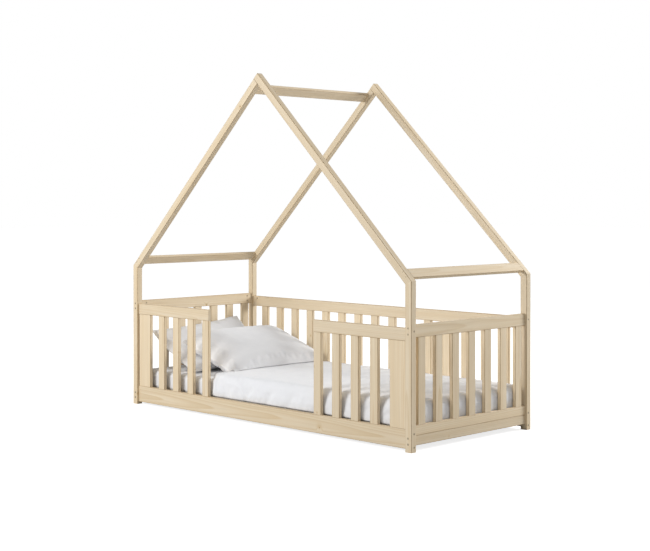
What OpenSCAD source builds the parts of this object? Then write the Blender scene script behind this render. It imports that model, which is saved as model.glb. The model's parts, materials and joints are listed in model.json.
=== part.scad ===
// House-frame floor bed for a child, with fenced sides and bedding.
// Long sides run along X: head end at -X, foot end at +X. The entry side is at -Y.
// The origin is the centre of the footprint, on the floor.

/* [Mattress] */
// Length of the mattress
mattress_l = 2000; // [1600:10:2200]
// Width of the mattress
mattress_w = 800; // [700:10:1000]
// Thickness of the mattress
mattress_h = 100; // [80:5:140]
// Edge radius of the mattress
mattress_r = 24; // [15:1:36]
// Corner radius of the mattress seen from above
mattress_corner = 40; // [20:2:60]
// Free space between the mattress and each end panel
gap_end = 11; // [10:1:30]
// Free space between the mattress and each side panel
gap_side = 19; // [16:1:40]
// Height of the top of the slatted base above the floor
seat_h = 90; // [84:1:98]

/* [Posts and roof] */
// Post and rafter size seen from the long side
post_w = 38; // [34:1:60]
// Post and rafter size seen from the end
post_d = 34; // [32:1:60]
// Radius of the long edges of posts and rafters
post_r = 3; // [1:0.5:5]
// Height of the outer corner where a rafter meets its post
knee_h = 776; // [700:1:1000]
// Rise of the roof from the knee to the peak
roof_rise = 1008; // [850:1:1150]
// Width of the ridge board and the eave boards
board_w = 54; // [46:1:80]
// Thickness of the ridge board and the eave boards
board_t = 18; // [16:1:24]
// Distance of the eave boards from the knee, up the slope
eave_up = 24; // [20:1:60]
// Distance of the ridge board from the peak, down the slope
ridge_down = 70; // [66:1:120]

/* [Panels] */
// Thickness of rails, stiles and fence slats
panel_t = 18; // [16:1:20]
// Distance of the panels behind the outer faces of the posts
panel_inset = 11; // [6:0.5:12]
// Edge radius of rails
rail_r = 2.5; // [1:0.5:4]
// Height of the top rails
top_rail_h = 60; // [50:1:90]
// Top of the side fences above the floor
side_top = 562; // [450:1:650]
// Top of the end panels above the floor
end_top = 578; // [500:1:650]
// Height of the long bottom rails
side_rail_h = 90; // [80:1:110]
// Space under the long bottom rails
side_rail_foot = 13; // [5:1:20]
// Height of the base rails at the ends
base_rail_h = 45; // [42:1:60]
// Space under the base rails at the ends
base_rail_foot = 28; // [22:1:35]
// Height of the lower panel rails at the ends
low_rail_h = 47; // [40:1:70]

/* [Fence slats] */
// Width of a fence slat
slat_w = 50; // [40:1:60]
// Edge radius of a fence slat
slat_r = 2; // [1:0.5:3]
// Gap between the slats of the two front fences
front_gap = 75; // [60:1:85]
// Slats in each front fence
front_slats = 4; // [3:1:5]
// Width of the stile beside each front post
stile_w = 100; // [60:1:120]
// Slit between a stile and its post
stile_slit = 4; // [2:0.5:8]
// Slats in the back fence
back_slats = 15; // [13:1:16]
// Slats in each end panel
end_slats = 7; // [5:1:7]
// Space between the outer slats of an end panel and the posts
end_side = 26; // [10:1:40]

/* [Slatted base] */
// Width of a base lath
lath_w = 70; // [50:1:90]
// Thickness of a base lath
lath_t = 14; // [12:1:18]
// Number of base laths
lath_n = 14; // [10:1:16]
// Free space between a lath end and the side rail
lath_end = 2; // [1:0.5:5]
// Width of the ledger strips that carry the laths
ledger_w = 25; // [20:1:32]
// Height of the ledger strips
ledger_h = 40; // [30:1:44]
// Distance of the ledger ends from the posts
ledger_end = 62; // [60:1:90]
// Screws in each ledger strip
ledger_screw_n = 5; // [3:1:7]

/* [Joinery] */
// Shoulder of a tenon at each side of its slat
tenon_shoulder = 8; // [5:1:12]
// Thickness of a tenon
tenon_t = 8; // [6:0.5:9]
// Length of a tenon
tenon_l = 9; // [7:0.5:10]
// Play round a tenon in its mortise
tenon_play = 0.15; // [0.1:0.05:0.3]
// Space left at the bottom of a mortise
mortise_spare = 0.5; // [0.3:0.1:0.8]
// Diameter of a frame bolt
bolt_d = 6; // [5:1:7]
// Length of a frame bolt under its head
bolt_l = 76; // [70:1:90]
// Diameter of a bolt head
bolt_head_d = 10; // [9:0.5:12]
// Height of a bolt head
bolt_head_h = 4; // [3:0.5:5]
// Hexagon socket across its flats
socket_af = 4; // [3:0.5:5]
// Play between a bolt and its bore, on the diameter
bolt_play = 0.4; // [0.2:0.1:1]
// Diameter of a barrel nut
nut_d = 10; // [9:0.5:11]
// Length of a barrel nut
nut_l = 13; // [10:0.5:14]
// Distance of a barrel nut from the end of its rail
nut_back = 36; // [32:1:40]
// Half distance between the two bolts of an end top rail
top_bolt_half = 14; // [12:0.5:15]
// Half distance between the two bolts of a base rail
base_bolt_half = 13.5; // [12:0.5:14]
// Distance of the lower bolt of a long bottom rail above the rail's lower edge
side_bolt_up = 10; // [9:0.5:14]
// Distance between the two bolts of a long bottom rail
side_bolt_pitch = 61; // [50:0.5:62]
// Distance of the single side fence bolt below the fence top
fence_bolt_down = 14; // [12:0.5:16]
// Diameter of a wooden dowel
dowel_d = 8; // [6:1:10]
// Length of a wooden dowel
dowel_l = 40; // [30:1:44]
// Play between a dowel and its hole, on the diameter
dowel_play = 0.2; // [0.1:0.1:0.5]
// Space left at each end of a dowel hole
dowel_spare = 1; // [0.5:0.5:3]
// Distance of the paired dowels from the faces of the frame
dowel_edge = 8; // [7:0.5:10]

/* [Screws] */
// Shank diameter of the roof board screws
roof_screw_d = 4.5; // [4:0.5:6]
// Head diameter of the roof board screws
roof_head_d = 8.5; // [8:0.5:11]
// Length of the roof board screws
roof_screw_l = 70; // [55:1:90]
// Distance between the two screws at a board end
roof_screw_pitch = 28; // [20:1:32]
// Shank diameter of the ledger and lath screws
base_screw_d = 4; // [3:0.5:5]
// Head diameter of the ledger and lath screws
base_head_d = 8; // [7:0.5:9]
// Height of every screw head
screw_head_h = 2.6; // [2:0.2:3.4]
// How far the ledger screws reach into the side rail
ledger_bite = 14; // [10:1:15]
// How far the lath screws reach into the ledger
lath_bite = 16; // [12:1:25]
// Play between a screw and its hole, on the diameter
screw_play = 0.2; // [0.1:0.1:0.4]

/* [Bedding] */
// Thickness of the fitted sheet
sheet_t = 1.5; // [1:0.5:3]
// Width of the sheet hem under the mattress
sheet_hem = 70; // [40:5:150]
// Air left between soft pieces
soft_gap = 0.3; // [0.2:0.1:0.5]
// Distance of the duvet edge from the head end of the mattress
duvet_from_head = 605; // [560:5:900]
// Length of the thin head edge of the duvet, before it swells
duvet_edge = 80; // [40:5:150]
// Thickness of the duvet where it hangs down
duvet_hang_t = 7; // [5:0.5:7.5]
// Thickness of the duvet on the mattress
duvet_top_t = 20; // [10:1:40]
// Extra height of the duvet crown in the middle
duvet_crown = 9; // [0:1:30]
// Depth of the folds of the hanging duvet
duvet_fold = 1.2; // [0:0.1:1.5]
// Height of the duvet hem above the floor
duvet_hem_h = 104; // [96:1:130]
// Length of the front pillow, across the bed
pillow_l = 740; // [600:5:780]
// Width of the front pillow
pillow_w = 500; // [440:5:520]
// Thickness of the front pillow
pillow_t = 110; // [80:2:130]
// Slope of the front pillow in degrees
pillow_slope = 19; // [15:0.5:24]
// Distance of the lower edge of the front pillow from the head end of the mattress
pillow_reach = 672; // [660:1:720]
// Length of the back pillow, across the bed
rest_l = 640; // [500:5:700]
// Width of the back pillow
rest_w = 430; // [380:5:440]
// Thickness of the back pillow
rest_t = 92; // [60:2:100]
// Slope of the back pillow in degrees
rest_slope = 28; // [24:0.5:32]
// Sideways tilt of the back pillow in degrees
rest_roll = 4; // [0:0.5:5]

/* [Hidden] */

$fn = 48;
steel = "#b9b9b4";
pine = "#dcc8a4";
pine_light = "#e2d2b2";
birch = "#d9bf93";
linen = "#efefef";

// Overall plan
half_l = mattress_l / 2 + gap_end + panel_t + panel_inset;
half_w = mattress_w / 2 + gap_side + panel_t + panel_inset;
inner_x = half_l - post_w;
inner_y = half_w - post_d;
panel_x = half_l - panel_inset - panel_t;
panel_y = half_w - panel_inset - panel_t;
mid_x = panel_x + panel_t / 2;
mid_y = panel_y + panel_t / 2;
beyond = 4 * half_l;

// Roof: slope angle, slope length and the mitre between post and rafter
slope = atan2(roof_rise, half_l);
slope_l = norm([half_l, roof_rise]);
mitre = (90 - slope) / 2;
mitre_run = post_w * tan(mitre);
apex_joint = slope_l + post_w / tan(2 * slope) - post_w / (2 * sin(2 * slope));
ridge_at = slope_l - ridge_down - board_w;

// Levels of the panels
side_rail_top = side_rail_foot + side_rail_h;
base_rail_top = base_rail_foot + base_rail_h;
low_rail_top = base_rail_top + low_rail_h;
side_slat_h = side_top - top_rail_h - side_rail_top;
end_slat_h = end_top - top_rail_h - low_rail_top;

// Spacing of the fence slats
front_pitch = slat_w + front_gap;
stile_at = inner_x - stile_slit - stile_w;
fence_from = stile_at - front_slats * front_pitch;
back_gap = (2 * inner_x - back_slats * slat_w) / (back_slats + 1);
end_first = end_side - inner_y;
end_pitch = (-2 * end_first - slat_w) / (end_slats - 1);

// Heights of the bolts
fence_bolt_z = side_top - fence_bolt_down;
side_bolt_z = side_rail_foot + side_bolt_up;
end_bolt_z = end_top - top_rail_h / 2;
base_bolt_z = base_rail_foot + base_rail_h / 2;
side_bolts = [fence_bolt_z, side_bolt_z + side_bolt_pitch, side_bolt_z];
end_bolts = [end_bolt_z + top_bolt_half, end_bolt_z - top_bolt_half,
             base_bolt_z + base_bolt_half, base_bolt_z - base_bolt_half];
panel_dowel_z = base_rail_top + low_rail_h / 2;

// Slatted base
ledger_x = inner_x - ledger_end;
lath_pitch = (2 * ledger_x - lath_w) / (lath_n - 1);
ledger_y = panel_y - ledger_w;
ledger_z = seat_h - lath_t - ledger_h;
ledger_screw_pitch = 2 * ledger_x / ledger_screw_n;

// Bedding levels
sheet_z = seat_h + soft_gap;
mattress_z = sheet_z + sheet_t + soft_gap;
sheet_grow = soft_gap + sheet_t;
sheet_top = mattress_z + mattress_h + sheet_grow;
duvet_lift = sheet_grow + 2 * soft_gap;
duvet_r = mattress_r + duvet_lift;
duvet_z = sheet_top + 2 * soft_gap;
hang_t = min(duvet_hang_t, gap_end - duvet_lift - duvet_fold - soft_gap);
core_x = mattress_l / 2 - mattress_r;
core_y = mattress_w / 2 - mattress_r;
duvet_from = duvet_from_head - mattress_l / 2;
duvet_flat = duvet_from + duvet_edge;

// Rounded rectangle from the origin into +X +Y
module rounded(w, d, r) {
    translate([r, 0]) square([w - 2 * r, d]);
    translate([0, r]) square([w, d - 2 * r]);
    for (x = [r, w - r], y = [r, d - r]) translate([x, y]) circle(r);
}

// Board along +X, h high in Z and t thick in Y
module board_x(l, h, t, r) {
    rotate([90, 0, 90]) linear_extrude(l) rounded(t, h, r);
}

// Board along +Y, h high in Z and t thick in X
module board_y(l, h, t, r) {
    translate([t, 0, 0]) rotate([90, 0, 180]) linear_extrude(l) rounded(t, h, r);
}

// Children built at the foot end are mirrored to the head end
module at_head() {
    mirror([1, 0, 0]) children();
}

// Children built at the front are mirrored to the back
module at_back() {
    mirror([0, 1, 0]) children();
}

// All four corners, from children built at the front foot corner
module at_corners() {
    children();
    at_head() children();
    at_back() children();
    at_back() at_head() children();
}

// Frame of the head slope: X runs up the slope from the knee, Z points out of the roof
module head_slope() {
    translate([-half_l, 0, knee_h]) rotate([0, -slope, 0]) children();
}

// Frame of the foot slope, mirrored from the head slope
module foot_slope() {
    mirror([1, 0, 0]) head_slope() children();
}

// Half space below or above the mitre plane, in the frame of a slope
module mitre_side(above) {
    rotate([0, -mitre, 0]) translate([above ? 0 : -beyond, -beyond, -beyond])
        cube([beyond, 2 * beyond, 2 * beyond]);
}

// Round hole or pin along +Y, +X or +Z
module rod_y(d, l) {
    rotate([-90, 0, 0]) cylinder(d = d, h = l);
}

module rod_x(d, l) {
    rotate([0, 90, 0]) cylinder(d = d, h = l);
}

// Bolt bore along -X through a corner post at the foot end
module post_bore_x() {
    translate([inner_x - 1, 0, 0]) rod_x(bolt_d + bolt_play, post_w + 2);
    translate([half_l - bolt_head_h, 0, 0]) rod_x(bolt_head_d + bolt_play, bolt_head_h + 1);
}

// Bolt bore along +Y through a corner post at the front
module post_bore_y() {
    translate([0, -half_w - 1, 0]) rod_y(bolt_d + bolt_play, post_d + 2);
    translate([0, -half_w - 1, 0]) rod_y(bolt_head_d + bolt_play, bolt_head_h + 1);
}

// Socket head bolt along +Z with the head at its foot
module bolt() {
    difference() {
        union() {
            cylinder(d = bolt_head_d, h = bolt_head_h);
            cylinder(d = bolt_d, h = bolt_head_h + bolt_l);
        }
        translate([0, 0, -1]) cylinder(d = socket_af / cos(30), h = 1 + bolt_head_h * 0.6, $fn = 6);
    }
}

// Cylinder nut along +Z, bored through for the bolt
module barrel_nut() {
    difference() {
        cylinder(d = nut_d, h = nut_l);
        translate([0, 0, nut_l / 2]) rotate([0, 90, 0])
            cylinder(d = bolt_d + bolt_play / 2, h = 2 * nut_d, center = true);
    }
}

// Countersunk screw along +Z with the head at its foot; grow widens it into its own hole
module screw(d, head_d, l, grow) {
    cylinder(d = head_d + grow, h = screw_head_h / 2);
    translate([0, 0, screw_head_h / 2]) cylinder(d1 = head_d + grow, d2 = d + grow, h = screw_head_h / 2);
    cylinder(d = d + grow, h = l + grow);
}

// Bores at the end of a rail: the bolt hole along -X and the barrel nut hole from the inner face
module rail_end_x(z) {
    translate([0, -mid_y, z]) {
        depth = bolt_l - (post_w - bolt_head_h) + dowel_spare;
        translate([inner_x - depth, 0, 0]) rod_x(bolt_d + bolt_play, depth + 1);
        translate([inner_x - nut_back, -nut_l / 2 - bolt_play, 0]) rod_y(nut_d + bolt_play, panel_t);
    }
}

module rail_end_y(z) {
    translate([mid_x, 0, z]) {
        depth = bolt_l - (post_d - bolt_head_h) + dowel_spare;
        translate([0, -inner_y - 1, 0]) rod_y(bolt_d + bolt_play, depth + 1);
        translate([nut_l / 2 + bolt_play - panel_t, -inner_y + nut_back, 0])
            rod_x(nut_d + bolt_play, panel_t);
    }
}

// Dowels of one front knee, in the frame of a slope
module knee_dowels(d, l) {
    for (y = [-half_w + dowel_edge, -inner_y - dowel_edge])
        translate([mitre_run / 2, y, -post_w / 2]) rotate([0, 90 - mitre, 0])
            cylinder(d = d, h = l, center = true);
}

// Dowels of the front peak joint, in the frame of the foot slope
module peak_dowels(d, l) {
    for (y = [-half_w + dowel_edge, -inner_y - dowel_edge])
        translate([apex_joint, y, -post_w]) cylinder(d = d, h = l, center = true);
}

// Dowel between the low rail of an end panel and the front post
module panel_dowel(d, l) {
    translate([mid_x, -inner_y - l / 2, panel_dowel_z]) rod_y(d, l);
}

// Two screws through a front rafter into a roof board whose lower edge is at s up the slope
module board_screws(s, grow) {
    for (side = [-1, 1])
        translate([s + board_w / 2 + side * roof_screw_pitch / 2, -half_w, -board_t / 2])
            rotate([-90, 0, 0]) screw(roof_screw_d, roof_head_d, roof_screw_l, grow);
}

// Front foot post, before it is mirrored to its corner
module corner_post() {
    difference() {
        translate([inner_x, -half_w, 0])
            linear_extrude(knee_h + post_w) rounded(post_w, post_d, post_r);
        foot_slope() mitre_side(true);
        for (z = side_bolts) translate([0, -mid_y, z]) post_bore_x();
        for (z = end_bolts) translate([mid_x, 0, z]) post_bore_y();
        foot_slope() knee_dowels(dowel_d + dowel_play, dowel_l + 2 * dowel_spare);
        panel_dowel(dowel_d + dowel_play, dowel_l + 2 * dowel_spare);
    }
}

// Rafter blank at the front, in the frame of its slope, with its knee mitre and knee dowel holes
module rafter_blank() {
    difference() {
        translate([-post_w, -half_w, -post_w])
            board_x(slope_l + 2 * post_w, post_w, post_d, post_r);
        mitre_side(false);
        knee_dowels(dowel_d + dowel_play, dowel_l + 2 * dowel_spare);
        board_screws(eave_up, screw_play);
    }
}

// The foot rafter runs through to the peak
module foot_rafter() {
    difference() {
        foot_slope() rafter_blank();
        head_slope() translate([0, -beyond, 0]) cube([2 * beyond, 2 * beyond, beyond]);
        foot_slope() peak_dowels(dowel_d + dowel_play, dowel_l + 2 * dowel_spare);
    }
}

// The head rafter butts against the underside of the foot rafter
module head_rafter() {
    difference() {
        head_slope() rafter_blank();
        foot_slope() translate([0, -beyond, -post_w]) cube([2 * beyond, 2 * beyond, beyond]);
        foot_slope() peak_dowels(dowel_d + dowel_play, dowel_l + 2 * dowel_spare);
        head_slope() board_screws(ridge_at, screw_play);
    }
}

// Board between the front and back rafters, lying in the slope
module roof_board(s) {
    color(pine_light) difference() {
        translate([s, -inner_y, -board_t])
            board_y(2 * inner_y, board_t, board_w, rail_r);
        board_screws(s, screw_play);
        at_back() board_screws(s, screw_play);
    }
}

// Mortise for a slat of width w whose lower left corner is at the origin of the rail face
module mortise(w) {
    translate([tenon_shoulder - tenon_play, (panel_t - tenon_t) / 2 - tenon_play, 0])
        cube([w - 2 * tenon_shoulder + 2 * tenon_play, tenon_t + 2 * tenon_play, tenon_l + mortise_spare]);
}

module mortise_down(w) {
    translate([0, 0, -tenon_l - mortise_spare]) mortise(w);
}

// Upright slat or stile with a tenon at each end
module upright(w, h) {
    linear_extrude(h) rounded(w, panel_t, slat_r);
    translate([tenon_shoulder, (panel_t - tenon_t) / 2, -tenon_l])
        cube([w - 2 * tenon_shoulder, tenon_t, h + 2 * tenon_l]);
}

// Places along a rail
function front_slat_x(i) = fence_from + i * front_pitch;
function back_slat_x(i) = -inner_x + back_gap + i * (slat_w + back_gap);
function end_slat_y(i) = end_first + i * end_pitch;
function lath_x(i) = -ledger_x + i * lath_pitch;

// Child at the lower corner of each upright of a front foot fence, at height z
module front_uprights(z) {
    for (i = [0 : front_slats - 1]) translate([front_slat_x(i), -half_w + panel_inset, z]) children(0);
    translate([stile_at, -half_w + panel_inset, z]) children(1);
}

// Long bottom rail at the front, for either side
module side_rail() {
    difference() {
        translate([-inner_x, -half_w + panel_inset, side_rail_foot])
            board_x(2 * inner_x, side_rail_h, panel_t, rail_r);
        for (z = [side_bolts[1], side_bolts[2]]) {
            rail_end_x(z);
            at_head() rail_end_x(z);
        }
        ledger_screw_set(screw_play);
    }
}

module front_fence_top() {
    color(pine) difference() {
        translate([fence_from, -half_w + panel_inset, side_top - top_rail_h])
            board_x(inner_x - fence_from, top_rail_h, panel_t, rail_r);
        front_uprights(side_top - top_rail_h) {
            mortise(slat_w);
            mortise(stile_w);
        }
        rail_end_x(fence_bolt_z);
    }
}

module front_stile() {
    color(pine) translate([stile_at, -half_w + panel_inset, side_rail_top])
        upright(stile_w, side_slat_h);
}

module front_slat(i) {
    color(pine) translate([front_slat_x(i), -half_w + panel_inset, side_rail_top])
        upright(slat_w, side_slat_h);
}

// Rail of the foot end panel between the posts
module end_rail(z, h) {
    translate([panel_x, -inner_y, z]) board_y(2 * inner_y, h, panel_t, rail_r);
}

// Child at each slat of the foot end panel, with the slat's width along +Y
module end_uprights(z) {
    for (i = [0 : end_slats - 1])
        translate([panel_x + panel_t, end_slat_y(i), z]) rotate([0, 0, 90]) children();
}

module end_top_rail() {
    color(pine) difference() {
        end_rail(end_top - top_rail_h, top_rail_h);
        end_uprights(end_top - top_rail_h) mortise(slat_w);
        for (z = [end_bolts[0], end_bolts[1]]) {
            rail_end_y(z);
            at_back() rail_end_y(z);
        }
    }
}

module end_low_rail() {
    color(pine) difference() {
        end_rail(base_rail_top, low_rail_h);
        end_uprights(low_rail_top) mortise_down(slat_w);
        panel_dowel(dowel_d + dowel_play, dowel_l + 2 * dowel_spare);
        at_back() panel_dowel(dowel_d + dowel_play, dowel_l + 2 * dowel_spare);
    }
}

module end_base_rail() {
    color(pine) difference() {
        end_rail(base_rail_foot, base_rail_h);
        for (z = [end_bolts[2], end_bolts[3]]) {
            rail_end_y(z);
            at_back() rail_end_y(z);
        }
    }
}

module end_slat_group() {
    color(pine) end_uprights(low_rail_top) upright(slat_w, end_slat_h);
}

// Screws of the front ledger, driven outwards into the side rail
module ledger_screw_set(grow) {
    for (i = [0 : ledger_screw_n - 1])
        translate([-ledger_x + (i + 0.5) * ledger_screw_pitch, -ledger_y, ledger_z + ledger_h / 2])
            rotate([90, 0, 0]) screw(base_screw_d, base_head_d, ledger_w + ledger_bite, grow);
}

// Screws through the front ends of the laths into the ledger
module lath_screw_set(grow) {
    for (i = [0 : lath_n - 1])
        translate([lath_x(i) + lath_w / 2, -ledger_y - ledger_w / 2, seat_h])
            rotate([180, 0, 0]) screw(base_screw_d, base_head_d, lath_t + lath_bite, grow);
}

module ledger() {
    color(birch) difference() {
        translate([-ledger_x, -panel_y, ledger_z]) board_x(2 * ledger_x, ledger_h, ledger_w, rail_r);
        ledger_screw_set(screw_play);
        lath_screw_set(screw_play);
    }
}

// Upholstered block with rounded edges, centred on X and Y, standing on Z = 0
module soft_block(l, w, h, r, corner) {
    intersection() {
        translate([-l / 2, -w / 2, -1]) linear_extrude(h + 2) rounded(l, w, corner);
        translate([-l / 2 - 1, -w / 2, 0]) rotate([90, 0, 90]) linear_extrude(l + 2) rounded(w, h, r);
        translate([-l / 2, w / 2 + 1, 0]) rotate([90, 0, 0]) linear_extrude(w + 2) rounded(l, h, r);
    }
}

// Faces between two grids of points with the same border, laid out row after row: n cells
// along a row, m rows of cells. The second grid starts at point number start.
function cell_faces(n, m, start, up) = [
    for (j = [0 : m - 1], i = [0 : n - 1])
        let (a = start + j * (n + 1) + i, b = a + 1, c = a + n + 1, d = c + 1)
        each (i < n / 2
            ? (up ? [[a, b, c], [b, d, c]] : [[a, c, b], [b, c, d]])
            : (up ? [[a, d, c], [a, b, d]] : [[a, c, d], [a, d, b]]))
];

// Faces that join the borders of the two grids
function rim_faces(n, m) =
    let (row = n + 1, other = row * (m + 1), last = m * row)
    concat(
        [for (i = [0 : n - 1]) each [[i, i + other, i + 1 + other], [i, i + 1 + other, i + 1]]],
        [for (i = [0 : n - 1]) let (a = last + i, b = a + 1)
            each [[a, b + other, a + other], [a, b, b + other]]],
        [for (j = [0 : m - 1]) let (a = j * row, b = a + row)
            each [[a, b + other, a + other], [a, b, b + other]]],
        [for (j = [0 : m - 1]) let (a = j * row + n, b = a + row)
            each [[a, a + other, b + other], [a, b + other, b]]]
    );

// Solid between an upper and a lower grid of points
module quilt(n, m, upper, lower) {
    polyhedron(concat(upper, lower), concat(
        cell_faces(n, m, 0, true), cell_faces(n, m, len(upper), false), rim_faces(n, m)));
}

// Pillow: u runs across the bed, v down the pillow, side is 1 on top and -1 below.
// The seam is drawn in between the corners and the body swells to a crown.
pillow_u = 26;
pillow_v = 18;
pillow_seam = 0.75;
function seam_step(k, n) = sin(-90 + 180 * k / n);
function pillow_point(l, w, t, u, v, side) = [
    w / 2 * v * (1 - 0.055 * (1 - u * u)),
    l / 2 * u * (1 - 0.04 * (1 - v * v)),
    side * (pillow_seam + (t / 2 - pillow_seam) * pow((1 - u * u) * (1 - v * v), 0.42))
];
function pillow_grid(l, w, t, side) = [
    for (j = [0 : pillow_v], i = [0 : pillow_u])
        pillow_point(l, w, t, seam_step(i, pillow_u), seam_step(j, pillow_v), side)
];
module pillow_solid(l, w, t) {
    quilt(pillow_u, pillow_v, pillow_grid(l, w, t, 1), pillow_grid(l, w, t, -1));
}

// Reach of a tilted pillow from its centre: down to its lowest point, and towards the head
function pillow_drop(l, w, t, slope, roll) = -min([
    for (p = pillow_grid(l, w, t, -1))
        p[1] * sin(roll) + (p[2] * cos(slope) - p[0] * sin(slope)) * cos(roll)
]);
function pillow_back(l, w, t, slope) = -min([
    for (p = pillow_grid(l, w, t, -1)) p[0] * cos(slope) + p[2] * sin(slope)
]);

// Duvet: a flat quilt draped over the mattress and hanging down at the sides and the foot.
// Steps past the edge of its flat top first follow the rounded edge, then drop to the hem.
// Round the corners the steps start square and become round lower down.
drape_long = 14;
drape_half = 5;
drape_arc = 5;
drape_drop = 2;
drape_past = drape_arc + drape_drop;
drape_n = drape_long + drape_past;
drape_m = 2 * (drape_half + drape_past);

// Distance out and height of the quilt k steps past its flat top, thickened by hang and top
function drape(k, hang, top) =
    let (a = 90 * min(k, drape_arc) / drape_arc, drop = max(0, k - drape_arc) / drape_drop)
    [(duvet_r + hang) * sin(a),
     duvet_z - duvet_r + (duvet_r + top) * cos(a) - (duvet_z - duvet_r - duvet_hem_h) * drop];

// Crown of the flat top and folds of the hanging part
function duvet_swell(x, y) =
    let (f = max(0, (x - duvet_flat) / (core_x - duvet_flat)), across = 1 - pow(y / core_y, 2))
    across * sin(180 * f) * (duvet_crown + 1.6 * sin(1100 * f + y / 3) + 1.3 * sin(640 * f - y / 2));
function duvet_wave(s) = duvet_fold * (0.6 * sin(1.9 * s) + 0.4 * sin(3.1 * s + 40));

// Point i along the bed and j across it; body is 1 on the outer face and 0 on the inner face
function duvet_point(i, j, body) =
    let (past_x = max(0, i - drape_long), past_y = max(0, abs(j) - drape_half),
         past = max(past_x, past_y),
         side = sign(j), turn = past == 0 ? 0 : 90 * past_y / (past_x + past_y),
         x = duvet_from + (core_x - duvet_from) * pow(min(i, drape_long) / drape_long, 1.4),
         y = side * core_y * min(abs(j), drape_half) / drape_half,
         square = min(1, max(0, (drape_arc - past) / (drape_arc - 2))),
         out = pow(max(cos(turn), sin(turn)), -square),
         edge = i == 0 || past == drape_past ? 0.5 : 1,
         p = drape(past, body * edge * hang_t, body * edge * duvet_top_t),
         wave = body * max(0, past - drape_arc) / drape_drop * duvet_wave(x + y))
    [x + (p[0] * out + wave) * cos(turn), y + side * (p[0] * out + wave) * sin(turn),
     p[1] + (past == 0 ? body * duvet_swell(x, y) : 0)];
function duvet_grid(body) = [
    for (i = [0 : drape_n], j = [-drape_m / 2 : drape_m / 2]) duvet_point(i, j, body)
];
module duvet_solid() {
    quilt(drape_m, drape_n, duvet_grid(1), duvet_grid(0));
}

// Posts
module front_foot_post() { color(pine) corner_post(); }
module front_head_post() { color(pine) at_head() corner_post(); }
module back_foot_post() { color(pine) at_back() corner_post(); }
module back_head_post() { color(pine) at_back() at_head() corner_post(); }

// Roof
module front_foot_rafter() { color(pine) foot_rafter(); }
module front_head_rafter() { color(pine) head_rafter(); }
module back_foot_rafter() { color(pine) at_back() foot_rafter(); }
module back_head_rafter() { color(pine) at_back() head_rafter(); }
module ridge_board() { head_slope() roof_board(ridge_at); }
module head_eave_board() { head_slope() roof_board(eave_up); }
module foot_eave_board() { foot_slope() roof_board(eave_up); }

// Entry side
module front_side_rail() {
    color(pine) difference() {
        side_rail();
        front_uprights(side_rail_top) {
            mortise_down(slat_w);
            mortise_down(stile_w);
        }
        at_head() front_uprights(side_rail_top) {
            mortise_down(slat_w);
            mortise_down(stile_w);
        }
    }
}
module front_foot_top_rail() { front_fence_top(); }
module front_head_top_rail() { at_head() front_fence_top(); }
module front_foot_stile() { front_stile(); }
module front_head_stile() { at_head() front_stile(); }

// Back fence
module back_uprights(z) {
    for (i = [0 : back_slats - 1]) translate([back_slat_x(i), panel_y, z]) children();
}
module back_side_rail() {
    color(pine) difference() {
        at_back() side_rail();
        back_uprights(side_rail_top) mortise_down(slat_w);
    }
}
module back_top_rail() {
    color(pine) difference() {
        translate([-inner_x, panel_y, side_top - top_rail_h])
            board_x(2 * inner_x, top_rail_h, panel_t, rail_r);
        back_uprights(side_top - top_rail_h) mortise(slat_w);
        at_back() rail_end_x(fence_bolt_z);
        at_back() at_head() rail_end_x(fence_bolt_z);
    }
}
module back_slats() {
    color(pine) back_uprights(side_rail_top) upright(slat_w, side_slat_h);
}

// Slatted base
module front_ledger() { ledger(); }
module back_ledger() { at_back() ledger(); }
module base_laths() {
    lath_y = panel_y - lath_end;
    color(birch) difference() {
        for (i = [0 : lath_n - 1]) translate([lath_x(i), -lath_y, seat_h - lath_t])
            board_y(2 * lath_y, lath_t, lath_w, rail_r);
        lath_screw_set(screw_play);
        at_back() lath_screw_set(screw_play);
    }
}

// Bedding
module mattress() {
    color(linen) translate([0, 0, mattress_z])
        soft_block(mattress_l, mattress_w, mattress_h, mattress_r, mattress_corner);
}
module fitted_sheet() {
    in = 2 * soft_gap;
    out = 2 * sheet_grow;
    color(linen) difference() {
        translate([0, 0, sheet_z]) soft_block(mattress_l + out, mattress_w + out, mattress_h + out,
            mattress_r + sheet_grow, mattress_corner + sheet_grow);
        translate([0, 0, mattress_z - soft_gap]) soft_block(mattress_l + in, mattress_w + in,
            mattress_h + in, mattress_r + soft_gap, mattress_corner + soft_gap);
        translate([sheet_hem - mattress_l / 2, sheet_hem - mattress_w / 2, sheet_z - 1])
            cube([mattress_l - 2 * sheet_hem, mattress_w - 2 * sheet_hem, mattress_z - sheet_z + 1]);
    }
}
module duvet() {
    color(linen) duvet_solid();
}

// The back pillow stands on the sheet and leans with its upper corners on the head panel
module back_pillow() {
    x = -panel_x + soft_gap + pillow_back(rest_l, rest_w, rest_t, rest_slope);
    z = sheet_top + soft_gap + pillow_drop(rest_l, rest_w, rest_t, rest_slope, rest_roll);
    color(linen) translate([x, -17, z]) rotate([rest_roll, 0, 0])
        rotate([0, rest_slope, 0]) pillow_solid(rest_l, rest_w, rest_t);
}

// The front pillow lies on the edge of the duvet and leans on the back pillow
module front_pillow() {
    x = pillow_reach - mattress_l / 2 - pillow_w / 2 * cos(pillow_slope);
    z = duvet_z + duvet_top_t + soft_gap + pillow_drop(pillow_l, pillow_w, pillow_t, pillow_slope, 0);
    color(linen) translate([x, 0, z]) rotate([0, pillow_slope, 0])
        pillow_solid(pillow_l, pillow_w, pillow_t);
}

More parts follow.
